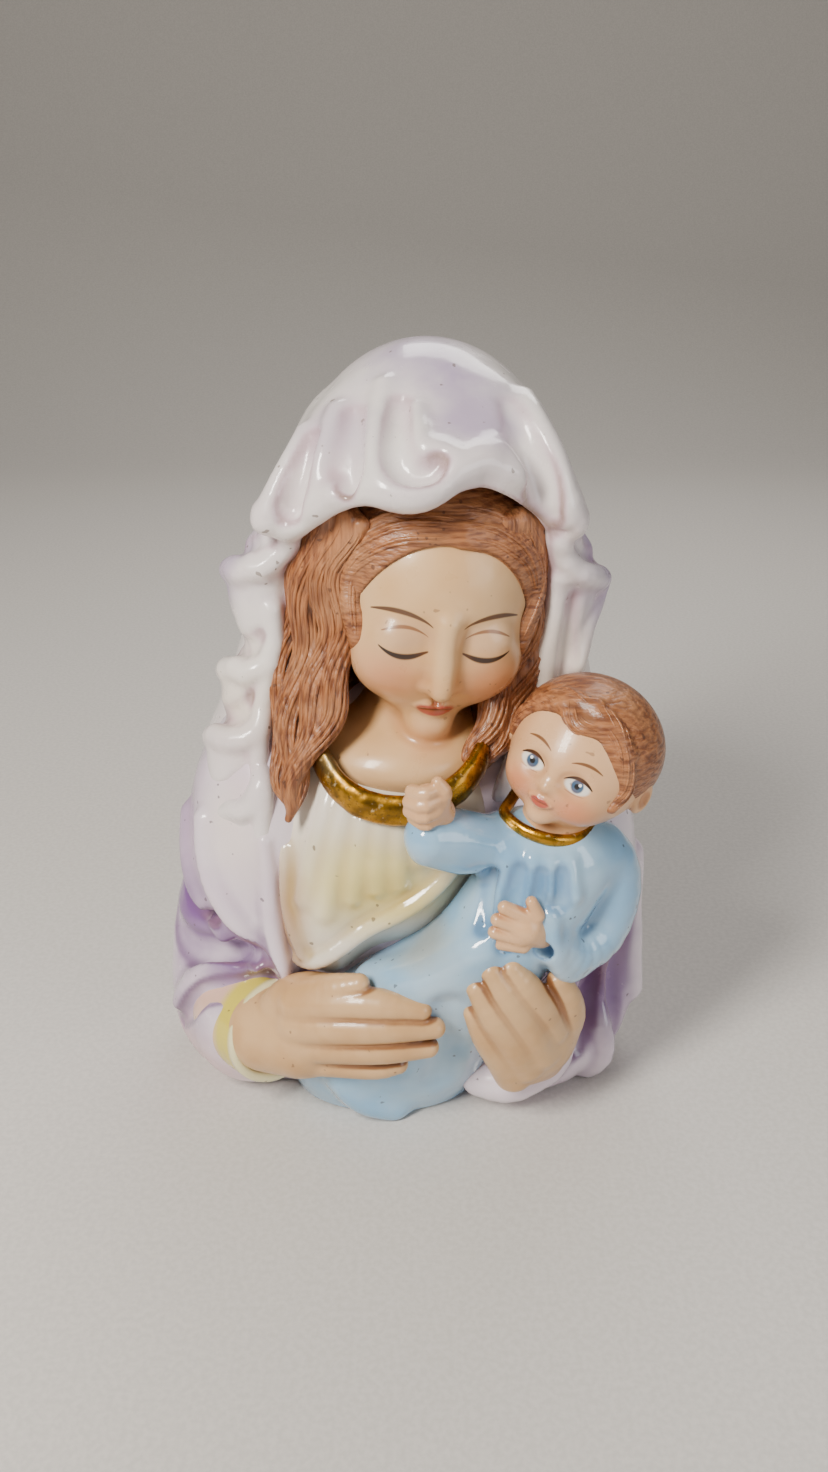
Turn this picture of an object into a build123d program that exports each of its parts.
"""Devotional bust of a veiled mother holding a child: hollow glazed porcelain, slip cast in
pieces that the potter sticks together with slip, then decorates and fires as one.

Millimetres, +Z up. The front of the bust faces -Y and the mother's right hand is on the -X side.
The origin is the middle of the footprint box, on the surface that the bust stands on.
Each casting is its own solid and meets its neighbours face to face at a luted joint.
"""

import math
import os

from build123d import *

# ---- driving dimensions -------------------------------------------------------------
HEIGHT = 150.0              # foot to crown of the veil
HALF_WIDTH = 50.0           # centre line to the outside of an elbow
WALL = 3.6                  # thickness of the cast porcelain
POUR_HOLE_R = 6.0           # drain hole left in the floor of the mantle
VENT_R = 3.0                # holes pierced between hollow castings, so that the kiln air escapes
HAIR_PROUD = 1.8            # how far the mother's front hair stands off the skull
CHILD_HAIR_PROUD = 0.9      # how far the child's cropped hair stands off the skull
FINGER_ROOT_R = 3.1         # half thickness of the mother's fingers at the knuckle
FINGER_TIP_R = 2.4          # and at the tip

# Design positions use a working origin under the middle of the mantle; place_on_origin()
# moves the finished set so that the footprint box is centred.

# Rounded forms: centre, half sizes, tilt in degrees about X, Y and Z.
MOTHER_SKULL = ((6.0, -11.5, 107.0), (18.4, 20.0, 22.5), (14.0, 6.0, 8.0))
MOTHER_CHEST = ((1.5, -10.0, 79.0), (21.0, 17.5, 8.5), (0.0, 0.0, 0.0))
BODICE = ((-4.0, -8.5, 57.0), (25.5, 25.5, 27.0), (0.0, 0.0, 0.0))
CHILD_SKULL = ((33.0, -28.5, 81.0), (13.9, 13.6, 12.8), (0.0, -16.0, 0.0))
RIGHT_PALM = ((-16.0, -34.5, 23.0), (15.0, 6.0, 11.0), (0.0, -6.0, -14.0))
LEFT_PALM = ((24.5, -35.5, 23.0), (9.5, 7.0, 12.5), (10.0, -30.0, 10.0))
CHILD_FIST = ((4.8, -41.5, 77.5), (4.2, 4.0, 4.8), (0.0, 20.0, 0.0))
CHILD_PALM = ((22.5, -42.3, 51.0), (5.6, 3.2, 5.8), (0.0, 20.0, 0.0))

# Round-ended tapers: start, end, radius at the start, radius at the end.
NECK = ((4.5, -8.0, 95.0), (2.5, -9.0, 80.0), 9.0, 10.5)
VEIL_OPENING = ((4.5, -33.5, 102.5), (1.0, -31.0, 70.0), 25.0, 27.0)
RIGHT_FOREARM = ((-36.0, -9.0, 20.0), (-31.5, -17.5, 17.5), 13.0, 12.0)
RIGHT_CUFF = ((-30.5, -19.0, 17.5), (-27.0, -23.5, 18.5), 12.6, 10.5)
LEFT_FOREARM = ((37.0, -9.0, 20.0), (31.0, -19.5, 17.0), 12.5, 12.0)
RAISED_SLEEVE = ((13.0, -35.5, 62.5), (5.5, -39.5, 70.0), 5.6, 5.0)

# Fingers from the first finger to the little one: knuckle, tip. The thumb comes last.
RIGHT_FINGERS = [
    ((-8.0, -39.5, 31.0), (4.5, -42.0, 31.5)),
    ((-8.0, -41.0, 26.0), (5.0, -43.0, 27.0)),
    ((-9.0, -40.5, 21.0), (2.0, -42.0, 21.5)),
    ((-11.0, -38.5, 16.5), (-3.0, -39.5, 16.5)),
    ((-17.0, -36.5, 33.0), (-10.0, -39.0, 37.5)),
]
LEFT_FINGERS = [
    ((26.0, -39.5, 32.5), (19.5, -42.0, 40.0)),
    ((22.5, -41.0, 29.0), (16.0, -42.5, 37.0)),
    ((20.0, -41.0, 25.5), (14.0, -42.0, 33.0)),
    ((18.5, -40.0, 21.0), (13.5, -41.0, 28.0)),
    ((30.0, -36.0, 27.0), (30.5, -36.5, 36.0)),
]

# Flattened neck rings: centre, tilt, ring radius, half width and half height of the section.
MOTHER_COLLAR = ((1.0, -14.0, 77.0), (30.0, 0.0, 0.0), 17.5, 4.2, 3.4)
CHILD_COLLAR = ((27.5, -31.0, 67.0), (12.0, -6.0, 90.0), 8.0, 2.5, 2.1)

# Trimming blocks: centre and side lengths.
COLLAR_FRONT = ((1.0, -34.0, 74.0), (60.0, 34.0, 40.0))
HAIR_BAND = ((6.0, -20.5, 134.0), (60.0, 34.0, 30.0))

# The round patch that the child's hair leaves bare for the face: centre, tilt, radius, length.
CHILD_FACE_PATCH = ((27.5, -45.5, 76.0), (90.0, -16.0, 0.0), 17.0, 34.0)

# Where the castings' hollows open into one another.
NECK_VENT = (1.0, 2.0, 88.0)
GOWN_VENT = (0.0, -24.0, 24.0)
HEAD_DRAIN = (4.0, -7.0, 90.0)

# Horizontal sections: height, half width, half depth, centre x, centre y.
MANTLE = [
    (0.0, 42.0, 24.5, 1.5, -1.5),
    (10.0, 46.5, 27.0, 0.5, -1.0),
    (30.0, HALF_WIDTH, 28.5, 0.0, 0.0),
    (52.0, 48.0, 28.0, 0.0, 1.0),
    (68.0, 42.0, 25.0, 0.0, 2.5),
    (80.0, 32.0, 19.5, 0.5, 4.0),
    (88.0, 17.0, 11.0, 1.0, 4.0),
]
VEIL = [
    (70.0, 43.0, 27.4, 0.0, 2.5),
    (78.0, 38.5, 26.8, 0.0, 3.2),
    (90.0, 34.0, 25.8, 0.0, 3.8),
    (104.0, 31.5, 26.5, 1.0, 3.0),
    (116.0, 31.0, 28.5, 2.5, 1.0),
    (127.0, 28.5, 29.0, 3.5, -1.8),
    (138.0, 22.5, 23.0, 4.5, -0.5),
    (146.0, 13.5, 14.0, 5.0, 1.0),
    (HEIGHT, 4.6, 4.8, 5.0, 1.5),
]
GOWN = [
    (0.0, 17.0, 8.5, -4.0, -19.5),
    (10.0, 21.0, 12.0, -3.0, -23.0),
    (22.0, 22.5, 14.5, 0.0, -25.5),
    (33.0, 19.0, 13.5, 9.0, -29.0),
    (44.0, 14.5, 11.5, 19.0, -32.0),
    (55.0, 13.5, 10.5, 25.0, -32.0),
    (63.0, 10.5, 8.0, 27.5, -31.0),
    (68.0, 6.5, 5.5, 28.5, -30.5),
]
RIGHT_CASCADE = [
    (56.0, 3.0, 2.0, -28.5, -26.0),
    (64.0, 5.5, 3.5, -31.0, -22.0),
    (76.0, 6.0, 4.5, -31.5, -17.5),
    (90.0, 5.5, 4.5, -28.5, -14.0),
    (106.0, 6.0, 5.0, -26.5, -12.0),
    (117.0, 4.0, 5.0, -23.5, -16.0),
    (124.0, 3.0, 4.0, -21.0, -19.0),
]
LEFT_CASCADE = [
    (70.0, 5.0, 3.5, 33.5, -14.5),
    (80.0, 5.5, 4.0, 32.0, -13.5),
    (94.0, 5.0, 4.5, 31.5, -11.5),
    (108.0, 5.5, 5.0, 31.5, -11.5),
    (118.0, 4.0, 5.0, 29.0, -16.0),
    (124.0, 3.0, 4.0, 27.0, -18.5),
]
RIGHT_LOCK = [
    (66.0, 1.6, 1.5, -20.0, -28.5),
    (73.0, 3.8, 3.2, -19.5, -26.5),
    (82.0, 5.4, 4.6, -18.5, -22.5),
    (92.0, 6.0, 5.2, -18.5, -19.5),
    (104.0, 4.8, 5.0, -17.5, -18.5),
    (115.0, 4.2, 4.6, -14.5, -20.5),
]
LEFT_LOCK = [
    (78.0, 3.6, 3.4, 17.5, -20.5),
    (86.0, 5.4, 4.8, 20.5, -17.0),
    (98.0, 5.2, 5.0, 24.0, -13.0),
    (110.0, 4.2, 4.6, 25.0, -13.0),
    (117.0, 3.6, 4.0, 24.0, -15.0),
]
LEFT_SLEEVE = [
    (37.5, 4.0, 3.8, 31.5, -37.5),
    (44.0, 7.2, 6.6, 35.0, -33.5),
    (52.0, 7.6, 7.4, 37.5, -29.5),
    (60.0, 6.2, 6.2, 36.5, -28.0),
    (65.0, 3.0, 3.0, 34.5, -28.0),
]


# ---- shape helpers --------------------------------------------------------------------
def stack(sections, shrink=0.0):
    """A smooth body through horizontal ellipses, drawn in by shrink all round."""
    rings = []
    for height, half_width, half_depth, x, y in sections:
        outline = Ellipse(half_width - shrink, half_depth - shrink)
        rings.append(Plane((x, y, height)) * outline)
    return loft(rings)


def block(centre, sides):
    return Pos(*centre) * Box(*sides)


def hollow(sections, floor, ceiling):
    """The space inside a stack, between two heights, one wall thickness in."""
    inner = stack(sections, WALL)
    low = sections[0][0] + floor
    high = sections[-1][0] - ceiling
    side = 4 * HALF_WIDTH
    return inner & block((0, 0, (low + high) / 2), (side, side, high - low))


def ellipsoid(centre, semi, tilt, swell=0.0):
    """A tilted ellipsoid, grown outwards by swell, or drawn in where swell is negative."""
    half_sizes = tuple(s + swell for s in semi)
    return Pos(*centre) * Rot(*tilt) * scale(Sphere(1.0), by=half_sizes)


def limb(start, end, start_r, end_r):
    """A round-ended taper from start to end, made as one turned solid."""
    run = Vector(*end) - Vector(*start)
    length = run.length
    slope = math.sin(math.pi / 4)
    with BuildSketch(Plane.XZ) as half:
        with BuildLine():
            ThreePointArc((0, -start_r), (start_r * slope, -start_r * slope), (start_r, 0))
            Line((start_r, 0), (end_r, length))
            ThreePointArc(
                (end_r, length),
                (end_r * slope, length + end_r * slope),
                (0, length + end_r),
            )
            Line((0, length + end_r), (0, -start_r))
        make_face()
    turned = revolve(half.sketch, Axis.Z)
    return Plane(origin=start, z_dir=run.normalized()) * turned


def ring(centre, tilt, radius, half_width, half_height):
    """A flattened ring, turned from an elliptical section and then tilted into place."""
    section = Plane.XZ * Pos(radius, 0) * Ellipse(half_width, half_height)
    return Pos(*centre) * Rot(*tilt) * revolve(section, Axis.Z)


def above_foot(body):
    """The body cut off level with the surface that the bust stands on."""
    side = 4 * HALF_WIDTH
    return body & block((0, 0, side / 2), (side, side, side))


def less(body, *others):
    """The body with each of its neighbours' space taken out, and no crumbs left over."""
    for other in others:
        body = body - other
    largest = max(body.solids(), key=lambda solid: solid.volume)
    if largest.volume <= 0:
        raise ValueError("a cut between castings failed: move one of them slightly")
    return largest


# ---- the mother -----------------------------------------------------------------------
def mantle_casting(blank):
    """Main hollow casting: cloak and floor, with the pour hole underneath."""
    shell = blank - hollow(MANTLE, floor=WALL, ceiling=WALL)
    pour_hole = Pos(0, 0, WALL / 2) * Cylinder(POUR_HOLE_R, 2 * WALL)
    neck_vent = Pos(*NECK_VENT) * Cylinder(VENT_R, 4 * WALL)
    gown_vent = Pos(*GOWN_VENT) * Rot(90, 0, 0) * Cylinder(VENT_R, 6 * WALL)
    return less(shell, pour_hole, neck_vent, gown_vent)


def head_blank():
    """Head, neck and upper chest."""
    return ellipsoid(*MOTHER_SKULL) + limb(*NECK) + ellipsoid(*MOTHER_CHEST)


def head_casting(blank, mantle):
    """The head is cast hollow and drains down through the neck."""
    inside = ellipsoid(*MOTHER_SKULL, swell=-WALL)
    drain = Pos(*HEAD_DRAIN) * Cylinder(VENT_R, 8 * VENT_R)
    return less(blank, inside, drain, mantle)


def front_hair(head):
    """A band of hair combed back from the forehead under the veil."""
    swollen = ellipsoid(*MOTHER_SKULL, swell=HAIR_PROUD)
    return less(swollen & block(*HAIR_BAND), head)


def open_hand(palm, fingers):
    """A flat palm with four fingers laid side by side and a thumb."""
    hand = ellipsoid(*palm)
    for knuckle, tip in fingers:
        hand = hand + limb(knuckle, tip, FINGER_ROOT_R, FINGER_TIP_R)
    return hand


# ---- the child --------------------------------------------------------------------------
def child_hair(head):
    """Close-cropped hair: a thin cap over the top and back of the head."""
    swollen = ellipsoid(*CHILD_SKULL, swell=CHILD_HAIR_PROUD)
    centre, tilt, radius, length = CHILD_FACE_PATCH
    patch = Pos(*centre) * Rot(0, tilt[1], 0) * Rot(tilt[0], 0, 0) * Cylinder(radius, length)
    return less(swollen, head, patch)


# ---- assembly -----------------------------------------------------------------------------
def build():
    mantle = stack(MANTLE)
    gown = less(stack(GOWN), mantle)
    gown_space = stack(GOWN[1:5], WALL)
    head = head_blank()
    hair = front_hair(head)
    child_head = ellipsoid(*CHILD_SKULL)
    child_cap = child_hair(child_head)
    bodice = less(ellipsoid(*BODICE), mantle, head, gown)
    collar = less(ring(*MOTHER_COLLAR) & block(*COLLAR_FRONT), mantle, head, bodice)

    right_lock = less(stack(RIGHT_LOCK), mantle, head, hair, bodice, collar)
    veil_shell = stack(VEIL) - hollow(VEIL, floor=-1.0, ceiling=WALL)
    veil = less(veil_shell, mantle, limb(*VEIL_OPENING), head, hair, bodice, right_lock)
    left_lock = less(stack(LEFT_LOCK), mantle, head, hair, bodice, collar, veil)
    left_lock = less(left_lock, child_head, child_cap)
    right_cascade = less(stack(RIGHT_CASCADE), mantle, veil, head, hair, right_lock, bodice)
    left_cascade = less(stack(LEFT_CASCADE), mantle, veil, head, hair, left_lock)
    left_cascade = less(left_cascade, child_head, child_cap)

    right_hand = less(open_hand(RIGHT_PALM, RIGHT_FINGERS), mantle, gown, bodice)
    left_hand = less(open_hand(LEFT_PALM, LEFT_FINGERS), mantle, gown)
    right_forearm = less(above_foot(limb(*RIGHT_FOREARM)), mantle, gown)
    cuff = less(above_foot(limb(*RIGHT_CUFF)), mantle, right_forearm, right_hand, gown)
    left_forearm = less(above_foot(limb(*LEFT_FOREARM)), mantle, gown, left_hand)

    neck_ring = less(ring(*CHILD_COLLAR), gown, child_head)
    child_cap = less(child_cap, gown, neck_ring, veil)
    raised_sleeve = less(limb(*RAISED_SLEEVE), mantle, gown, bodice, collar, neck_ring)
    left_sleeve = less(stack(LEFT_SLEEVE), mantle, gown, left_hand, left_forearm)
    left_sleeve = less(left_sleeve, child_head, neck_ring)
    fist = less(ellipsoid(*CHILD_FIST), raised_sleeve, collar, bodice, head)
    flat_hand = less(ellipsoid(*CHILD_PALM), gown, left_sleeve)

    return {
        "mantle": mantle_casting(mantle),
        "mantle_sleeve_right": right_forearm,
        "mantle_sleeve_left": left_forearm,
        "veil": veil,
        "veil_cascade_right": right_cascade,
        "veil_cascade_left": left_cascade,
        "mother_head": head_casting(head, mantle),
        "mother_front_hair": hair,
        "mother_hair_lock_right": right_lock,
        "mother_hair_lock_left": left_lock,
        "mother_bodice": bodice,
        "mother_collar": collar,
        "mother_cuff": cuff,
        "mother_right_hand": right_hand,
        "mother_left_hand": left_hand,
        "child_gown": less(gown, gown_space),
        "child_head": child_head,
        "child_hair": child_cap,
        "child_collar": neck_ring,
        "child_right_sleeve": raised_sleeve,
        "child_left_sleeve": left_sleeve,
        "child_right_hand": fist,
        "child_left_hand": flat_hand,
    }


def place_on_origin(parts):
    """Moves the whole set so that the footprint box is centred on the origin, to 0.1 mm."""
    box = Compound(children=[Compound(part.solids()) for part in parts.values()]).bounding_box()
    middle_x = round((box.min.X + box.max.X) / 2, 1)
    middle_y = round((box.min.Y + box.max.Y) / 2, 1)
    print("set back by", -middle_x, -middle_y, "foot", round(box.min.Z, 4))
    print("overall", box.size)
    return {name: Pos(-middle_x, -middle_y, 0) * part for name, part in parts.items()}


os.makedirs("parts", exist_ok=True)
for name, part in place_on_origin(build()).items():
    export_step(part, f"parts/{name}.step")
